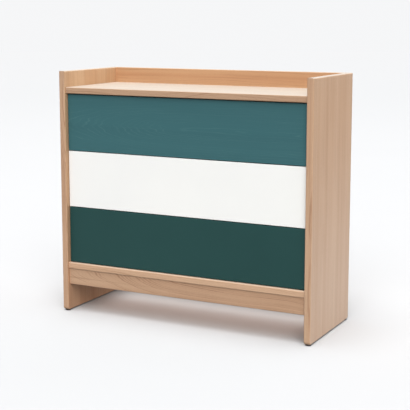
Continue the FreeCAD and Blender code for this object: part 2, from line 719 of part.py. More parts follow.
for name, foot, centre in zip(DRAWERS, front_feet, runner_middles):
    pieces = []

    # Front: a plain inset board with slightly eased edges, screwed on from inside the box
    front_half = inner_half - dim.front_side_gap
    front_y = (front_face, box_front)
    front = board(f"{name}_drawer_front", (-front_half, front_half), front_y, (zero, front_height))
    round_edges(front, dim.front_edge_radius, lambda box: near(box.YMax, front_face))
    bite = dim.front_screw_bite + dim.hole_end_gap
    drill(front, "XZ_Plane", box_front, front_screw_places, screw_hole, bite, -1)
    pieces.append(front)

    # Sub-front and back: pins at both ends, and a groove for the bottom
    for label, span, inside in (("sub_front", sub_front_y, 1), ("back", box_back_y, -1)):
        wall = board(f"{name}_drawer_{label}", (-box_half, box_half), span, box_z)
        root, end = (span[1], span[0]) if inside > 0 else (span[0], span[1])
        for side in (-1, 1):
            sketch = sketch_at(wall, "YZ_Plane", box_half * side)
            for index in range(TAIL_COUNT):
                draw_polygon(sketch, tail(index, root, end))
            pocket(wall, sketch, dim.box_thickness, -side)
        sketch = sketch_at(wall, "XZ_Plane", root)
        draw_rectangle(sketch, (-groove_half, groove_half), bottom_groove)
        pocket(wall, sketch, dim.box_groove_depth, -inside)
        if inside > 0:
            drill(wall, "XZ_Plane", root, front_screw_places, screw_hole, dim.box_thickness, -1)
        pieces.append(wall)

    # Sides: tails at both ends, and a groove for the bottom
    for label, side in (("side_left", -1), ("side_right", 1)):
        wall = new_body(f"{name}_drawer_{label}")
        low = -box_half if side < 0 else box_inner
        sketch = sketch_at(wall, "YZ_Plane", low)
        outline = [(sub_front_y[1], box_z[0]), (box_back_y[0], box_z[0])]
        for index in range(TAIL_COUNT):
            outline += tail(index, box_back_y[0], box_back_y[1])
        outline += [(box_back_y[0], box_z[1]), (sub_front_y[1], box_z[1])]
        for index in reversed(range(TAIL_COUNT)):
            outline += reversed(tail(index, sub_front_y[1], sub_front_y[0]))
        draw_polygon(sketch, outline)
        pad(wall, sketch, dim.box_thickness)
        sketch = sketch_at(wall, "YZ_Plane", box_inner * side)
        draw_rectangle(sketch, groove_y, bottom_groove)
        pocket(wall, sketch, dim.box_groove_depth, side)
        places = [(y, runner_height_in_drawer) for y in drawer_screw_y]
        depth = dim.drawer_screw_length + dim.hole_end_gap
        drill(wall, "YZ_Plane", box_half * side, places, screw_hole, depth, -side)
        pieces.append(wall)

    # Bottom: a thin board in the grooves of the four walls
    bottom_half = groove_half - dim.groove_end_gap
    pieces.append(board(
        f"{name}_drawer_bottom",
        (-bottom_half, bottom_half),
        (groove_y[0] + dim.groove_end_gap, groove_y[1] - dim.groove_end_gap),
        (box_z[0] + dim.box_bottom_lift, box_z[0] + dim.box_bottom_lift + dim.box_bottom_thickness),
    ))

    # Screws: four hold the front, six hold the drawer rails
    screws = new_body(f"{name}_drawer_screws")
    sketch = sketch_at(screws, "XZ_Plane", sub_front_y[1])
    draw_circles(sketch, front_screw_places, dim.screw_head_diameter / 2)
    pad(screws, sketch, dim.screw_head_height, 1)
    sketch = sketch_at(screws, "XZ_Plane", sub_front_y[1])
    draw_circles(sketch, front_screw_places, screw_radius)
    pad(screws, sketch, dim.box_thickness + dim.front_screw_bite, -1)
    for side in (-1, 1):
        places = [(y, runner_height_in_drawer) for y in drawer_screw_y]
        countersunk_screws(screws, side, box_half + steel, places, dim.drawer_screw_length, -1)
    pieces.append(screws)

    for piece in pieces:
        bind(piece, "Placement.Base.z", foot)

doc.recompute()

failed = [thing.Label for thing in doc.Objects if {"Invalid", "Error"} & set(thing.State)]
failed += [node.Label for node in nodes if node.Shape.isNull() or not node.Shape.isValid()]
if failed:
    raise RuntimeError(f"pieces that failed: {failed}")

os.makedirs("parts", exist_ok=True)
for node in nodes:
    node.Shape.exportStep(f"parts/{node.Label}.step")
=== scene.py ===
from math import pi, radians

import bpy
import numpy as np
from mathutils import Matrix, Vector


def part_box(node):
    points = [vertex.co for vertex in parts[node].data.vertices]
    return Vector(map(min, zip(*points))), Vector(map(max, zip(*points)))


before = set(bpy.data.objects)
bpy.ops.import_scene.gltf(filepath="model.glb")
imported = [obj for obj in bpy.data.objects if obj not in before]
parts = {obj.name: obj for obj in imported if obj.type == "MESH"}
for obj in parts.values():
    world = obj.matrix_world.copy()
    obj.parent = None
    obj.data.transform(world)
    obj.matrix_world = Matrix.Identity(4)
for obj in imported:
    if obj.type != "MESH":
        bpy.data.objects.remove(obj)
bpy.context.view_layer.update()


# SIDE PANELS
# Two full-height boards that carry the chest: oak veneer on a wood core, lipped with oak and rounded along
# every edge. The grain runs upwards, and a matt oil leaves the pores open.

def shade(red, green, blue):
    """A colour as it shows on a screen, 0 to 255, turned to light by the sRGB curve."""
    seen = np.array((red, green, blue)) / 255
    light = np.where(seen <= 0.04045, seen / 12.92, ((seen + 0.055) / 1.055) ** 2.4)
    return (*light.tolist(), 1.0)


def put(tree, kind, inputs=(), **settings):
    """One node: settings are its properties, each input is a plain value or the socket that feeds it."""
    node = tree.nodes.new("ShaderNode" + kind)
    for name, value in settings.items():
        setattr(node, name, value)
    for socket, value in dict(inputs).items():
        if isinstance(value, bpy.types.NodeSocket):
            tree.links.new(value, node.inputs[socket])
        else:
            node.inputs[socket].default_value = value
    return node


def calc(tree, operation, *values):
    """The named sum on numbers or sockets, in their order."""
    return put(tree, "Math", enumerate(values), operation=operation).outputs[0]


def ease(tree, value, low, high, start=0.0, end=1.0):
    """A value between low and high, carried smoothly from start to end and held beyond them."""
    sockets = {"Value": value, "From Min": low, "From Max": high, "To Min": start, "To Max": end}
    return put(tree, "MapRange", sockets, interpolation_type="SMOOTHSTEP").outputs[0]


def blend(tree, share, first, second):
    """The first colour, with that share of the second laid over it."""
    return put(tree, "Mix", {0: share, 6: first, 7: second}, data_type="RGBA").outputs[2]


def cloud(tree, place, cells, detail=2.0):
    """Soft noise about 0.5, with three numbers of cells per metre along, across and through the piece."""
    scaled = put(tree, "VectorMath", {0: place, 1: cells}, operation="MULTIPLY").outputs[0]
    return put(tree, "TexNoise", {"Vector": scaled, "Scale": 1.0, "Detail": detail}).outputs[0]


def new_group(name, takes, gives):
    """An empty node group with its named sockets: the tree, what it takes and what it gives."""
    tree = bpy.data.node_groups.new(name, "ShaderNodeTree")
    for socket, kind in takes.items():
        tree.interface.new_socket(socket, in_out="INPUT", socket_type="NodeSocket" + kind)
    for socket, kind in gives.items():
        tree.interface.new_socket(socket, in_out="OUTPUT", socket_type="NodeSocket" + kind)
    return tree, tree.nodes.new("NodeGroupInput").outputs, tree.nodes.new("NodeGroupOutput").inputs


finish_sockets = {"Colour": "Color", "Roughness": "Float", "Height": "Float"}
# The pale grey that upward faces are painted toward: a painted sheen and top light.
painted_top_sheen = shade(187, 183, 173)
early_share = 0.85
oak_wear, oak_relief = 0.0035, 0.00008


def make_oak_grain():
    """Rings round a heart that leans in waves: the distance from it over the ring width, its fraction
    drawn as an early-wood line, stronger in some years than others. Pores are fine streaks that crowd in
    the early wood, slow bands change the tone across the board, and what faces upwards is painted paler
    and greyer by a share, as a painted sheen and top light."""
    takes = {"Place": "Vector", "Heart": "Float", "Lean": "Float", "Wave": "Float", "Wander": "Float",
             "Wobble": "Float", "Ring": "Float", "Line": "Float", "End": "Float", "Edge": "Float",
             "Painted_Top_Sheen": "Float", "Pale": "Color", "Rosy": "Color", "Early": "Color"}
    tree, have, give = new_group("oak_grain", takes, finish_sockets)
    place = have["Place"]
    along, side, through = put(tree, "SeparateXYZ", {0: place}).outputs
    sway = calc(tree, "MULTIPLY_ADD", cloud(tree, place, (1.3, 5, 5)), 0.04, -0.02)
    slow = calc(tree, "SUBTRACT", cloud(tree, place, (2.1, 0.7, 0.7), 1), 0.5)
    slow = calc(tree, "MULTIPLY", slow, have["Wander"])
    full_turn = 2 * pi
    wave = calc(tree, "DIVIDE", calc(tree, "SINE", calc(tree, "MULTIPLY", along, full_turn)), full_turn)
    bent = calc(tree, "MULTIPLY_ADD", wave, have["Wave"], along)
    depth = calc(tree, "MULTIPLY_ADD", bent, have["Lean"], have["Heart"])
    depth = calc(tree, "ADD", calc(tree, "ADD", depth, slow), through)
    side = calc(tree, "ADD", side, sway)
    radius = calc(tree, "MULTIPLY_ADD", side, side, calc(tree, "POWER", depth, 2.0))
    radius = calc(tree, "SQRT", radius)
    wobble = calc(tree, "SUBTRACT", cloud(tree, place, (9, 60, 60), 3), 0.5)
    wobble = calc(tree, "MULTIPLY", wobble, have["Wobble"])
    years = calc(tree, "ADD", calc(tree, "DIVIDE", radius, have["Ring"]), wobble)
    count = calc(tree, "FLOOR", years)
    year = put(tree, "TexWhiteNoise", {"W": count}, noise_dimensions="1D").outputs["Value"]
    part = calc(tree, "DIVIDE", calc(tree, "FRACT", years), have["Line"])
    rise, fall = ease(tree, part, 0.0, 0.25), ease(tree, part, 0.25, 1.0, 1.0, 0.0)
    strength = ease(tree, year, 0.0, 1.0, 0.1, 1.2)
    patchy = ease(tree, cloud(tree, place, (4, 18, 18)), 0.35, 0.65, 0.25, 1.0)
    early = calc(tree, "MULTIPLY", rise, fall)
    early = calc(tree, "MULTIPLY", early, strength)
    early = calc(tree, "MULTIPLY", early, patchy)
    band = ease(tree, cloud(tree, place, (0.45, 24, 24), 3), 0.30, 0.70)
    streak = ease(tree, cloud(tree, place, (1.0, 140, 140)), 0.58, 0.78)
    pores = ease(tree, cloud(tree, place, (75, 2500, 2500), 0), 0.58, 0.70)
    pores = calc(tree, "MULTIPLY", pores, calc(tree, "MULTIPLY_ADD", early, 0.7, 0.3))
    colour = blend(tree, band, have["Pale"], have["Rosy"])
    for mask, share in ((early, 0.65), (streak, 0.40), (pores, 0.55), (have["End"], 0.55)):
        colour = blend(tree, calc(tree, "MULTIPLY", mask, share), colour, have["Early"])
    # Upward faces are painted toward a pale grey: a painted sheen and top light.
    colour = blend(tree, have["Painted_Top_Sheen"], colour, painted_top_sheen)
    colour = blend(tree, calc(tree, "MULTIPLY", have["Edge"], 0.35), colour, have["Pale"])
    rough = calc(tree, "MULTIPLY_ADD", pores, 0.22, calc(tree, "MULTIPLY_ADD", band, 0.06, 0.44))
    rough = calc(tree, "MULTIPLY_ADD", have["Edge"], -0.08, rough)
    height = calc(tree, "MULTIPLY_ADD", early, -0.3, calc(tree, "SUBTRACT", 1.0, pores))
    for socket, value in (("Colour", colour), ("Roughness", rough), ("Height", height)):
        tree.links.new(value, give[socket])
    return tree


def make_worn_edge():
    """How near a point of a board is to its closest edge: the second smallest of its three distances in
    from the faces, faded out over the width and broken up by noise."""
    takes = {"Place": "Vector", "Middle": "Vector", "Half": "Vector", "Width": "Float"}
    tree, have, give = new_group("worn_edge", takes, {"Edge": "Float"})
    out = put(tree, "VectorMath", {0: have["Place"], 1: have["Middle"]}, operation="SUBTRACT").outputs[0]
    out = put(tree, "VectorMath", {0: out}, operation="ABSOLUTE").outputs[0]
    inward = put(tree, "VectorMath", {0: have["Half"], 1: out}, operation="SUBTRACT").outputs[0]
    x, y, z = put(tree, "SeparateXYZ", {0: inward}).outputs
    lesser, greater = calc(tree, "MINIMUM", x, y), calc(tree, "MAXIMUM", x, y)
    second = calc(tree, "MAXIMUM", lesser, calc(tree, "MINIMUM", greater, z))
    near = ease(tree, calc(tree, "DIVIDE", second, have["Width"]), 0.0, 1.0, 1.0, 0.0)
    rubbed = ease(tree, cloud(tree, have["Place"], (38, 38, 38), 4), 0.35, 0.65, 0.35, 1.0)
    tree.links.new(calc(tree, "MULTIPLY", near, rubbed), give["Edge"])
    return tree


def new_finish(name, **plain):
    """A material with one Principled shader; plain values go straight on its sockets. Gives the material,
    its tree and its shader."""
    material = bpy.data.materials.new(name)
    material.use_nodes = True
    tree = material.node_tree
    shader = tree.nodes["Principled BSDF"]
    for socket, value in plain.items():
        shader.inputs[socket.replace("_", " ")].default_value = value
    return material, tree, shader


def feed(tree, shader, group, depth):
    """Carries a group's colour, roughness and height to the shader; depth is the height of its relief, in
    metres."""
    tree.links.new(group.outputs["Colour"], shader.inputs["Base Color"])
    tree.links.new(group.outputs["Roughness"], shader.inputs["Roughness"])
    bump = put(tree, "Bump", {"Height": group.outputs["Height"], "Strength": 1.0, "Distance": depth})
    tree.links.new(bump.outputs[0], shader.inputs["Normal"])


def dress(name, material):
    """Gives a piece its material."""
    for slot in parts[name].material_slots:
        slot.material = material


def edge_of(tree, name, place, width):
    """The worn-edge mask of one board, from the board's own box."""
    low, high = (np.array(corner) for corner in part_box(name))
    sockets = {"Place": place, "Middle": (low + high) / 2, "Half": (high - low) / 2, "Width": width}
    return put(tree, "Group", sockets, node_tree=worn_edge).outputs[0]


def along_grain(tree, turn, start):
    """A piece's own coordinates, its place in the log and how far it shows end grain: the place is turned
    so that the first axis runs along the grain, then moved to its start, and end grain faces along that
    axis."""
    own = put(tree, "TexCoord").outputs
    place = put(tree, "Mapping", {"Vector": own["Object"], "Rotation": turn, "Location": start}).outputs[0]
    turned = {"Vector": own["Normal"], "Rotation": turn}
    facing = put(tree, "Mapping", turned, vector_type="VECTOR").outputs[0]
    end = calc(tree, "ABSOLUTE", put(tree, "SeparateXYZ", {0: facing}).outputs[0])
    return own, place, ease(tree, end, 0.6, 0.95)


def painted_light_tones(tree, own, tones, leaf, head_painted_light, foot_painted_light):
    """Tones that change where a board faces along leaf: painted light, which goes by height from the tones
    at the foot of the chest to those at its head. It is painted lighter or darker for the light that the
    floor and the tray throw there and for the shade under the chest."""
    faced = {0: own["Normal"], 1: leaf}
    toward = put(tree, "VectorMath", faced, operation="DOT_PRODUCT").outputs["Value"]
    share = ease(tree, toward, 0.5, 0.95)
    height = ease(tree, put(tree, "SeparateXYZ", {0: own["Object"]}).outputs[2], 0.05, 0.85)
    pairs = zip(foot_painted_light, head_painted_light)
    veneer = [blend(tree, height, shade(*foot), shade(*head)) for foot, head in pairs]
    return [blend(tree, share, tone, veneer_tone) for tone, veneer_tone in zip(tones, veneer)]


def oak_board(name, turn, start, heart, lean, ring, wave=0.0, wander=0.08, wobble=1.0, painted_sheen_share=0.75,
              tones=((196, 163, 134), (188, 150, 121), (158, 118, 90)), **leaf):
    """Oak for one board. Its three tones are pale, rosy and early wood, what faces upwards is painted paler
    and greyer by a share, as a painted sheen and top light, and the face along leaf may have painted light
    tones of its own. Heart and ring are in metres, and lean is how far the heart drifts over a metre of the
    board."""
    material, tree, shader = new_finish("oak_" + name, Specular_IOR_Level=0.3, Sheen_Weight=0.06,
                                        Sheen_Roughness=0.5)
    own, place, end = along_grain(tree, turn, start)
    up = put(tree, "SeparateXYZ", {0: own["Normal"]}).outputs[2]
    tones = [shade(*tone) for tone in tones]
    if leaf:
        tones = painted_light_tones(tree, own, tones, **leaf)
    # The share on upward faces paints them toward a pale grey: a painted sheen and top light.
    sockets = {"Place": place, "Heart": heart, "Lean": lean, "Wave": wave, "Wander": wander,
               "Wobble": wobble, "Ring": ring, "Line": early_share, "End": end,
               "Painted_Top_Sheen": ease(tree, up, 0.3, 0.95, 0.0, painted_sheen_share),
               "Edge": edge_of(tree, name, own["Object"], oak_wear),
               "Pale": tones[0], "Rosy": tones[1], "Early": tones[2]}
    feed(tree, shader, put(tree, "Group", sockets, node_tree=oak_grain), oak_relief)
    dress(name, material)


oak_grain = make_oak_grain()
worn_edge = make_worn_edge()
grain_up = (0, pi / 2, 0)
grain_across_face = (-pi / 2, 0, 0)
grain_across_flat = (0, 0, 0)
# Painted light by height on the left panel's inner face: lighter at the head for the tray's bounced light,
# darker and redder at the foot for the shade under the chest.
oak_board("side_panel_left", grain_up, (0.3, 0.41, -0.40), heart=0.02, lean=0.004, ring=0.0034,
          leaf=(1, 0, 0), head_painted_light=((211, 174, 136), (203, 161, 122), (175, 132, 95)),
          foot_painted_light=((200, 158, 124), (192, 147, 113), (164, 118, 86)))
# Painted light by height on the right panel's outer face: paler towards the foot for the floor's light,
# deeper at the head.
oak_board("side_panel_right", grain_up, (1.7, 0.36, 0.52), heart=0.03, lean=0.006, ring=0.0036,
          leaf=(1, 0, 0), head_painted_light=((201, 162, 127), (194, 153, 117), (166, 123, 89)),
          foot_painted_light=((207, 177, 151), (201, 168, 142), (175, 139, 112)))


# TOP PANEL AND GALLERY
# The tray at the top: a veneered panel between the sides and a low board standing behind it, level with
# their tops. The grain runs from side to side, and dowels in the ends hold both, with cams on the panel.
# Its upward faces are painted paler and greyer by a share of 0.65: a painted sheen and top light.
oak_board("top_panel", grain_across_flat, (0.9, 0.33, -0.80), heart=0.03, lean=0.010, ring=0.0038,
          painted_sheen_share=0.65, tones=((187, 155, 127), (179, 142, 114), (150, 111, 84)))
oak_board("back_gallery", grain_across_face, (2.1, -0.52, 0.21), heart=0.06, lean=0.012, ring=0.0035,
          tones=((195, 154, 117), (187, 141, 104), (160, 113, 79)))


# BOTTOM PANEL
# The floor of the drawer bay: the same veneered panel, its front edge showing as a strip under the lowest
# drawer. It is dowelled and cammed to the sides, and stands on the plinth.
# Its upward ledge is painted paler by a share of 0.35: a painted sheen and top light.
oak_board("bottom_panel", grain_across_flat, (3.4, 0.29, -0.16), heart=0.05, lean=0.010, ring=0.0036,
          painted_sheen_share=0.35, tones=((206, 172, 142), (197, 160, 130), (167, 128, 99)))


# FRONT PLINTH AND REAR RAIL
# Two upright boards under the bottom panel that stop the chest from racking, set back from its edges.
# The plinth is flat-sawn oak, so that its rings show as arches; the rail behind is plainer.
oak_board("front_plinth", grain_across_face, (0.28, -0.178, -0.168), heart=0.080, lean=-0.075, ring=0.0024,
          wave=1.0, wander=0.02, wobble=1.8, tones=((195, 162, 133), (187, 150, 121), (141, 102, 76)))
oak_board("rear_rail", grain_across_face, (5.2, 0.22, -0.15), heart=0.05, lean=0.012, ring=0.0036)


# BACK PANEL
# A thin sheet behind the drawers, in grooves of the sides and the gallery and screwed to the bottom panel.
# Its leaves of oak veneer come from one log, laid side by side and turned over in pairs, so that their grain
# mirrors at each joint.

leaf_width, joint_width = 0.19, 0.0007
first_leaf = 1.04
leaf_relief = 0.00006


def make_back_panel():
    """Leaves of one width: the distance across runs up and down like a folded strip, so that each leaf
    mirrors the last, and a dark line marks the joint where it turns."""
    material, tree, shader = new_finish("oak_leaves", Specular_IOR_Level=0.3)
    spot = put(tree, "TexCoord").outputs["Object"]
    x, y, z = put(tree, "SeparateXYZ", {0: spot}).outputs
    leaf = calc(tree, "PINGPONG", calc(tree, "ADD", x, first_leaf), leaf_width)
    far_half = ease(tree, leaf, leaf_width / 2 - 0.0001, leaf_width / 2 + 0.0001)
    joint = calc(tree, "SUBTRACT", leaf, calc(tree, "MULTIPLY", far_half, leaf_width))
    joint = calc(tree, "ABSOLUTE", joint)
    moved = {0: z, 1: calc(tree, "ADD", leaf, 0.02), 2: calc(tree, "ADD", y, 1.1)}
    place = put(tree, "CombineXYZ", moved).outputs[0]
    sockets = {"Place": place, "Heart": -1.20, "Lean": 0.05, "Wave": 0.0, "Wander": 0.04, "Wobble": 1.0,
               "Ring": 0.0048, "Line": early_share, "End": ease(tree, joint, 0.0, joint_width, 0.6, 0.0),
               "Edge": 0.0, "Painted_Top_Sheen": 0.0,
               "Pale": shade(207, 175, 144), "Rosy": shade(199, 163, 131), "Early": shade(168, 128, 97)}
    feed(tree, shader, put(tree, "Group", sockets, node_tree=oak_grain), leaf_relief)
    dress("back_panel", material)


make_back_panel()


# DOWELS
# Beech pegs with chamfered ends, glued into the boards and the sides, which line every joint up.
# Beech is a close, pinkish wood with short dark flecks along the grain.

beech_wear, beech_relief = 0.002, 0.00005


def make_beech_grain():
    """Short dark flecks: fine noise stretched a little along the grain and cut off high. Soft lines mark
    the rings."""
    takes = {"Place": "Vector", "End": "Float", "Edge": "Float",
             "Pale": "Color", "Rosy": "Color", "Fleck": "Color"}
    tree, have, give = new_group("beech_grain", takes, finish_sockets)
    place = have["Place"]
    fleck = ease(tree, cloud(tree, place, (210, 1500, 900), 1), 0.60, 0.72)
    line = ease(tree, cloud(tree, place, (1.4, 210, 160), 2), 0.45, 0.75)
    band = ease(tree, cloud(tree, place, (0.8, 18, 18), 3), 0.30, 0.70)
    colour = blend(tree, band, have["Pale"], have["Rosy"])
    for mask, share in ((line, 0.35), (fleck, 0.5), (have["End"], 0.6)):
        colour = blend(tree, calc(tree, "MULTIPLY", mask, share), colour, have["Fleck"])
    colour = blend(tree, calc(tree, "MULTIPLY", have["Edge"], 0.3), colour, have["Pale"])
    rough = calc(tree, "MULTIPLY_ADD", fleck, 0.12, calc(tree, "MULTIPLY_ADD", band, 0.08, 0.40))
    height = calc(tree, "SUBTRACT", 1.0, calc(tree, "MULTIPLY_ADD", line, 0.3, fleck))
    for socket, value in (("Colour", colour), ("Roughness", rough), ("Height", height)):
        tree.links.new(value, give[socket])
    return tree


def beech_board(name, turn, start):
    """Beech for one board or a set of pegs, turned and moved as oak is."""
    material, tree, shader = new_finish("beech_" + name, Specular_IOR_Level=0.4)
    own, place, end = along_grain(tree, turn, start)
    sockets = {"Place": place, "End": end, "Edge": edge_of(tree, name, own["Object"], beech_wear),
               "Pale": shade(222, 194, 160), "Rosy": shade(214, 181, 146), "Fleck": shade(176, 134, 98)}
    feed(tree, shader, put(tree, "Group", sockets, node_tree=beech_grain), beech_relief)
    dress(name, material)


beech_grain = make_beech_grain()
beech_board("carcase_dowels", grain_across_flat, (0, 0, 0))


# CAM FITTINGS
# Die-cast zinc drums let into the boards, each turned on the head of a bolt in the side to draw the joint
# shut. The casting is grey and slightly frosted, brighter where it has been rubbed.

metal_sockets = {"Place": "Vector", "Dull": "Color", "Bright": "Color"}
cast_relief = 0.00003


def make_cast_skin():
    """A frosted casting: fine noise for its grain, slow noise for dull and bright patches."""
    tree, have, give = new_group("cast_skin", metal_sockets, finish_sockets)
    patch = ease(tree, cloud(tree, have["Place"], (240, 240, 240), 3), 0.35, 0.65)
    frost = cloud(tree, have["Place"], (2600, 2600, 2600), 1)
    tree.links.new(blend(tree, patch, have["Dull"], have["Bright"]), give["Colour"])
    rough = calc(tree, "MULTIPLY_ADD", frost, 0.12, calc(tree, "MULTIPLY_ADD", patch, -0.10, 0.42))
    tree.links.new(rough, give["Roughness"])
    tree.links.new(calc(tree, "MULTIPLY_ADD", patch, 0.4, frost), give["Height"])
    return tree


def plain_metal(name, skin, relief, dull, bright, pieces):
    """Bare metal with the skin of its making, for a set of pieces; relief is in metres."""
    material, tree, shader = new_finish(name, Metallic=1.0)
    spot = put(tree, "TexCoord").outputs["Object"]
    sockets = {"Place": spot, "Dull": shade(*dull), "Bright": shade(*bright)}
    feed(tree, shader, put(tree, "Group", sockets, node_tree=skin), relief)
    for piece in pieces:
        dress(piece, material)


cast_skin = make_cast_skin()
plain_metal("cast_zinc", cast_skin, cast_relief, dull=(150, 151, 154), bright=(190, 191, 193),
            pieces=("cam_housings", "cam_bolts"))


# SCREWS
# Zinc-plated steel screws with countersunk heads: along the back panel, in the runners and behind the
# drawer fronts. The plating is thin and bright, with a faint cloudiness.
drawers = ("upper", "centre", "lower")
plain_metal("plated_screws", cast_skin, cast_relief, dull=(168, 168, 166), bright=(208, 208, 206),
            pieces=("back_screws", "runner_screws", *(f"{drawer}_drawer_screws" for drawer in drawers)))


# FLOOR GLIDES
# Small dark plastic discs, each nailed into the foot of a side, which keep the boards off a wet floor.
# They are moulded with a fine spark-eroded grain, and scuffed paler in places.

moulded_relief = 0.00004


def make_moulded_skin():
    """A moulded grain: rounded noise for the eroded texture, with sparse pale scuffs."""
    takes = {"Place": "Vector", "Body": "Color", "Scuff": "Color"}
    tree, have, give = new_group("moulded_skin", takes, finish_sockets)
    grain = cloud(tree, have["Place"], (1900, 1900, 1900), 1)
    scuff = ease(tree, cloud(tree, have["Place"], (160, 160, 160), 4), 0.52, 0.72)
    colour = blend(tree, calc(tree, "MULTIPLY", scuff, 0.6), have["Body"], have["Scuff"])
    rough = calc(tree, "MULTIPLY_ADD", grain, 0.15, calc(tree, "MULTIPLY_ADD", scuff, 0.1, 0.42))
    for socket, value in (("Colour", colour), ("Roughness", rough), ("Height", grain)):
        tree.links.new(value, give[socket])
    return tree


def moulded_plastic(name, body, scuff, piece):
    """Plastic with the moulded grain."""
    material, tree, shader = new_finish(name, Specular_IOR_Level=0.4)
    spot = put(tree, "TexCoord").outputs["Object"]
    sockets = {"Place": spot, "Body": shade(*body), "Scuff": shade(*scuff)}
    feed(tree, shader, put(tree, "Group", sockets, node_tree=moulded_skin), moulded_relief)
    dress(piece, material)


moulded_skin = make_moulded_skin()
moulded_plastic("dark_plastic", body=(44, 36, 34), scuff=(74, 64, 60), piece="floor_glides")


# DRAWER RUNNERS
# Telescopic runners in three rails of roll-formed steel, zinc plated: one screwed to the side, one
# between, one on the drawer. Rolling leaves faint lines along the rail, and the plating is a little cloudy.

rolled_relief = 0.00002


def make_rolled_skin():
    """Rolling lines: noise drawn out along the rail, over slow clouds in the plating."""
    tree, have, give = new_group("rolled_skin", metal_sockets, finish_sockets)
    line = cloud(tree, have["Place"], (900, 6, 900), 2)
    patch = cloud(tree, have["Place"], (30, 16, 30), 3)
    mixed = calc(tree, "ADD", calc(tree, "MULTIPLY", line, 0.5), calc(tree, "MULTIPLY", patch, 0.5))
    colour = blend(tree, ease(tree, mixed, 0.35, 0.65), have["Dull"], have["Bright"])
    rough = calc(tree, "MULTIPLY_ADD", line, 0.22, calc(tree, "MULTIPLY_ADD", patch, 0.12, 0.18))
    for socket, value in (("Colour", colour), ("Roughness", rough), ("Height", line)):
        tree.links.new(value, give[socket])
    return tree


rolled_skin = make_rolled_skin()
plain_metal("plated_rails", rolled_skin, rolled_relief, dull=(176, 178, 180), bright=(214, 216, 218),
            pieces=[f"{drawer}_runner_{side}_{rail}_rail" for drawer in drawers
                    for side in ("left", "right") for rail in ("cabinet", "middle", "drawer")])


# BALL CAGES
# Steel balls held at even steps in a strip between two rails, which rolls half as far as they slide apart.
# The balls are hardened and polished, the strip is plain bright steel.
plain_metal("bright_steel", rolled_skin, rolled_relief, dull=(188, 189, 190), bright=(226, 227, 228),
            pieces=[f"{drawer}_runner_{row}_cages" for drawer in drawers for row in ("outer", "inner")])


# PUSH CATCHES
# Grey plastic blocks in the rear ends of the outer rails: a push on a front makes them spring the drawer
# open, so that it needs no handle. They are moulded with the same grain as the glides.
moulded_plastic("grey_plastic", body=(158, 159, 161), scuff=(186, 187, 188), piece="push_units")


# DRAWER BOXES
# Solid beech boxes, dovetailed at their corners, with a birch plywood bottom in grooves on all four sides.
# The sides have their grain from front to back, the front and back boards from side to side.
grain_deep = (pi / 2, pi / 2, 0)
plywood_relief = 0.00004


def make_plywood():
    """Rotary-cut birch: broad wavy figure, the fraction of a slow noise stretched along the sheet."""
    material, tree, shader = new_finish("birch_plywood", Specular_IOR_Level=0.4)
    spot = put(tree, "TexCoord").outputs["Object"]
    wave = calc(tree, "FRACT", calc(tree, "MULTIPLY", cloud(tree, spot, (1.6, 7, 7), 2), 14.0))
    line = ease(tree, wave, 0.0, 0.9)
    fibre = cloud(tree, spot, (30, 1300, 1300), 1)
    colour = blend(tree, calc(tree, "MULTIPLY", line, 0.5), shade(226, 202, 168), shade(206, 174, 134))
    colour = blend(tree, ease(tree, fibre, 0.55, 0.75, 0.0, 0.35), colour, shade(184, 148, 108))
    tree.links.new(colour, shader.inputs["Base Color"])
    tree.links.new(calc(tree, "MULTIPLY_ADD", fibre, 0.2, 0.36), shader.inputs["Roughness"])
    bump = put(tree, "Bump", {"Height": fibre, "Strength": 1.0, "Distance": plywood_relief})
    tree.links.new(bump.outputs[0], shader.inputs["Normal"])
    return material


birch_plywood = make_plywood()
for place, drawer in enumerate(drawers):
    beech_board(f"{drawer}_drawer_sub_front", grain_across_face, (place * 1.7, 0.2, 0.1))
    beech_board(f"{drawer}_drawer_back", grain_across_face, (place * 1.7 + 0.8, 0.4, 0.3))
    beech_board(f"{drawer}_drawer_side_left", grain_deep, (place * 1.3, 0.6, 0.5))
    beech_board(f"{drawer}_drawer_side_right", grain_deep, (place * 1.3 + 0.6, 0.8, 0.7))
    dress(f"{drawer}_drawer_bottom", birch_plywood)


# UPPER DRAWER FRONT
# A board veneered with open-grained wood, stained petrol blue and screwed to the front of its drawer box.
# The stain dries paler in the open early wood, so the arches of the grain show as faint light lines.

stain_wear, stain_relief = 0.0025, 0.00005


def make_petrol_front():
    """The oak rings again, with the stain's own colours: the early lines are the light ones."""
    name = "upper_drawer_front"
    material, tree, shader = new_finish("petrol_stain", Specular_IOR_Level=0.25)
    spot = put(tree, "TexCoord").outputs["Object"]
    laid = {"Vector": spot, "Rotation": grain_across_face, "Location": (0.26, -0.71, -0.172)}
    place = put(tree, "Mapping", laid).outputs[0]
    sockets = {"Place": place, "Heart": 0.045, "Lean": -0.07, "Wave": 1.0, "Wander": 0.02, "Wobble": 2.2,
               "Ring": 0.0042, "Line": 0.40, "End": 0.0, "Painted_Top_Sheen": 0.0,
               "Edge": edge_of(tree, name, spot, stain_wear),
               "Pale": shade(54, 98, 103), "Rosy": shade(52, 95, 100), "Early": shade(69, 110, 114)}
    feed(tree, shader, put(tree, "Group", sockets, node_tree=oak_grain), stain_relief)
    dress(name, material)


make_petrol_front()


# CENTRE AND LOWER DRAWER FRONTS
# The same boards sprayed with matt lacquer, one white and one dark green. A sprayed coat keeps a faint
# orange-peel ripple, and its arrises are a little rubbed.

lacquer_wear, lacquer_relief = 0.002, 0.00006


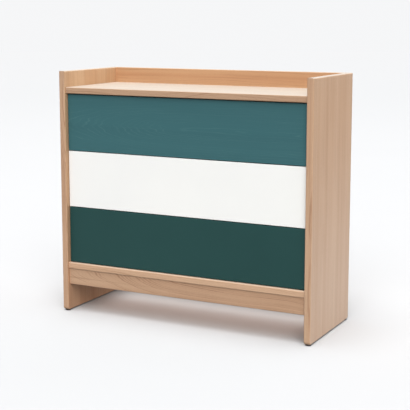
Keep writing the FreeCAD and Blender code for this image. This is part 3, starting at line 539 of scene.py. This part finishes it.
def make_lacquer_skin():
    """A sprayed coat: rounded ripples some millimetres across under a finer mist, slow drift in tone and
    sheen."""
    takes = {"Place": "Vector", "Edge": "Float", "Body": "Color", "Drift": "Color", "Rubbed": "Color"}
    tree, have, give = new_group("lacquer_skin", takes, finish_sockets)
    ripple = cloud(tree, have["Place"], (230, 230, 230), 1)
    mist = cloud(tree, have["Place"], (1700, 1700, 1700), 1)
    drift = ease(tree, cloud(tree, have["Place"], (3, 3, 3), 3), 0.30, 0.70)
    colour = blend(tree, drift, have["Body"], have["Drift"])
    colour = blend(tree, calc(tree, "MULTIPLY", have["Edge"], 0.5), colour, have["Rubbed"])
    rough = calc(tree, "MULTIPLY_ADD", mist, 0.14, calc(tree, "MULTIPLY_ADD", drift, 0.06, 0.40))
    rough = calc(tree, "MULTIPLY_ADD", have["Edge"], -0.08, rough)
    height = calc(tree, "MULTIPLY_ADD", mist, 0.25, ripple)
    for socket, value in (("Colour", colour), ("Roughness", rough), ("Height", height)):
        tree.links.new(value, give[socket])
    return tree


def lacquered_front(name, finish, body, drift, rubbed):
    """Lacquer for one front."""
    material, tree, shader = new_finish(finish, Specular_IOR_Level=0.25)
    spot = put(tree, "TexCoord").outputs["Object"]
    sockets = {"Place": spot, "Edge": edge_of(tree, name, spot, lacquer_wear),
               "Body": shade(*body), "Drift": shade(*drift), "Rubbed": shade(*rubbed)}
    feed(tree, shader, put(tree, "Group", sockets, node_tree=lacquer_skin), lacquer_relief)
    dress(name, material)


lacquer_skin = make_lacquer_skin()
lacquered_front("centre_drawer_front", "white_lacquer",
                body=(245, 245, 242), drift=(242, 242, 240), rubbed=(248, 248, 246))
lacquered_front("lower_drawer_front", "green_lacquer",
                body=(26, 64, 62), drift=(24, 61, 59), rubbed=(40, 80, 78))


# FLOOR AND STUDIO LIGHT
# A plain pale floor that runs out to a white surround, and two broad soft lights, overhead and from the
# front right. Three dim lamps under the chest stand for what a white studio and warm oak throw in there.

def lay_floor(reach, steps):
    """A flat square sheet: a grid of two parameters from -reach to reach, at height nought."""
    line = np.linspace(-reach, reach, steps)
    x, y = np.meshgrid(line, line)
    points = np.stack([x, y, np.zeros_like(x)], -1).reshape(-1, 3)
    corner = (np.arange(steps - 1)[:, None] * steps + np.arange(steps - 1)).reshape(-1)
    faces = np.stack([corner, corner + 1, corner + steps + 1, corner + steps], -1)
    mesh = bpy.data.meshes.new("floor")
    mesh.from_pydata(points.tolist(), [], faces.tolist())
    floor = bpy.data.objects.new("floor", mesh)
    bpy.context.scene.collection.objects.link(floor)
    return floor


def looked_at(tree):
    """One for rays that the camera sends, straight or by way of a mirror or glass, and nought for light on
    its way."""
    ray = put(tree, "LightPath").outputs
    mirrored = calc(tree, "MAXIMUM", ray["Is Glossy Ray"], ray["Is Transmission Ray"])
    return calc(tree, "MAXIMUM", ray["Is Camera Ray"], mirrored)


surround_colour = (0.92, 0.925, 0.935, 1)
near_tones = (0.509, 0.513, 0.521, 1), (0.522, 0.526, 0.534, 1)
far_tone = (0.484, 0.489, 0.496, 1)
tone_sent_back = (0.25, 0.25, 0.25, 1)
floor = lay_floor(reach=400.0, steps=3)
pale_floor, floor_tree, floor_shader = new_finish("pale_floor", Roughness=0.8, Specular_IOR_Level=0.0)
floor_place = put(floor_tree, "TexCoord").outputs["Object"]
mottle = cloud(floor_tree, floor_place, (0.9, 0.9, 0.9), 2)
floor_tone = blend(floor_tree, mottle, *near_tones)
reach = put(floor_tree, "VectorMath", {0: floor_place}, operation="LENGTH").outputs["Value"]
floor_tone = blend(floor_tree, ease(floor_tree, reach, 1.0, 12.0), floor_tone, far_tone)
floor_tone = blend(floor_tree, looked_at(floor_tree), tone_sent_back, floor_tone)
floor_tree.links.new(floor_tone, floor_shader.inputs["Base Color"])
distance = calc(floor_tree, "MULTIPLY", ease(floor_tree, reach, 6.0, 30.0), looked_at(floor_tree))
haze = put(floor_tree, "Emission", {"Color": surround_colour, "Strength": 1.0}).outputs[0]
faded = put(floor_tree, "MixShader", {0: distance, 1: floor_shader.outputs[0], 2: haze}).outputs[0]
floor_tree.links.new(faded, floor_tree.nodes["Material Output"].inputs["Surface"])
pale_floor.cycles.emission_sampling = "NONE"
floor.data.materials.append(pale_floor)

studio = bpy.data.worlds.new("studio")
studio.use_nodes = True
bpy.context.scene.world = studio
sky = studio.node_tree
sky.nodes.clear()
shown = put(sky, "Background", {"Color": surround_colour, "Strength": 1.0}).outputs[0]
level_behind, level_right, share_overhead = 2.05, 0.1, 0.15
across, away, rise = put(sky, "SeparateXYZ", {0: put(sky, "TexCoord").outputs["Generated"]}).outputs
behind = ease(sky, away, -1.0, 1.0, 0.0, level_behind)
level = calc(sky, "ADD", behind, ease(sky, across, -1.0, 1.0, 0.0, level_right))
level = calc(sky, "MULTIPLY", level, ease(sky, rise, 0.0, 0.9, 1.0, share_overhead))
light = put(sky, "Background", {"Color": (1, 1, 1, 1), "Strength": level}).outputs[0]
surround = put(sky, "MixShader", {0: looked_at(sky), 1: light, 2: shown}).outputs[0]
put(sky, "OutputWorld", {"Surface": surround})


def soft_light(name, strength, spread, lean, swing):
    """A very broad lamp far away: strength in watts per square metre, spread across the sky in degrees,
    lean down from overhead and swing round the chest from the front, both in degrees."""
    lamp = bpy.data.lights.new(name, "SUN")
    lamp.energy = strength
    lamp.angle = radians(spread)
    stand = bpy.data.objects.new(name, lamp)
    stand.rotation_euler = (radians(lean), 0, radians(swing))
    bpy.context.scene.collection.objects.link(stand)


soft_light("overhead", strength=3.0, spread=38, lean=7, swing=-8)
soft_light("front_right", strength=2.7, spread=50, lean=48, swing=24)
low_width, low_height, low_spread = 0.86, 0.11, 100


def low_light(name, power, colour, depth, place):
    """A flat lamp under the bottom panel that shines down and that the camera doesn't see: power in watts,
    its depth from front to back and the place of its middle behind the middle of the chest, both in
    metres."""
    lamp = bpy.data.lights.new(name, "AREA")
    lamp.shape = "RECTANGLE"
    lamp.size, lamp.size_y = low_width, depth
    lamp.energy = power
    lamp.color = colour
    lamp.spread = radians(low_spread)
    stand = bpy.data.objects.new(name, lamp)
    stand.location = (0, place, low_height)
    stand.visible_camera = False
    stand.visible_glossy = False
    bpy.context.scene.collection.objects.link(stand)


low_light("under_rear", power=0.272, colour=(1.0, 0.91, 0.86), depth=0.09, place=0.11)
low_light("under_middle", power=0.160, colour=(1.0, 0.74, 0.64), depth=0.11, place=0.0075)
low_light("under_front", power=0.084, colour=(1.0, 0.65, 0.49), depth=0.11, place=-0.105)


# CAMERA
# A long lens a little above the top of the chest, to the right of its front. It tilts down a little, with
# a small shift for the framing; both angles are in degrees.
tilt, swing = 8.566, 27.117
lens = bpy.data.cameras.new("camera")
lens.lens = 94.02
lens.shift_y = -0.07
camera = bpy.data.objects.new("camera", lens)
camera.location = (1.7733, -3.4519, 1.1068)
camera.rotation_euler = (radians(90 - tilt), 0, radians(swing))
bpy.context.scene.collection.objects.link(camera)
bpy.context.scene.camera = camera
bpy.context.scene.view_settings.view_transform = "Standard"
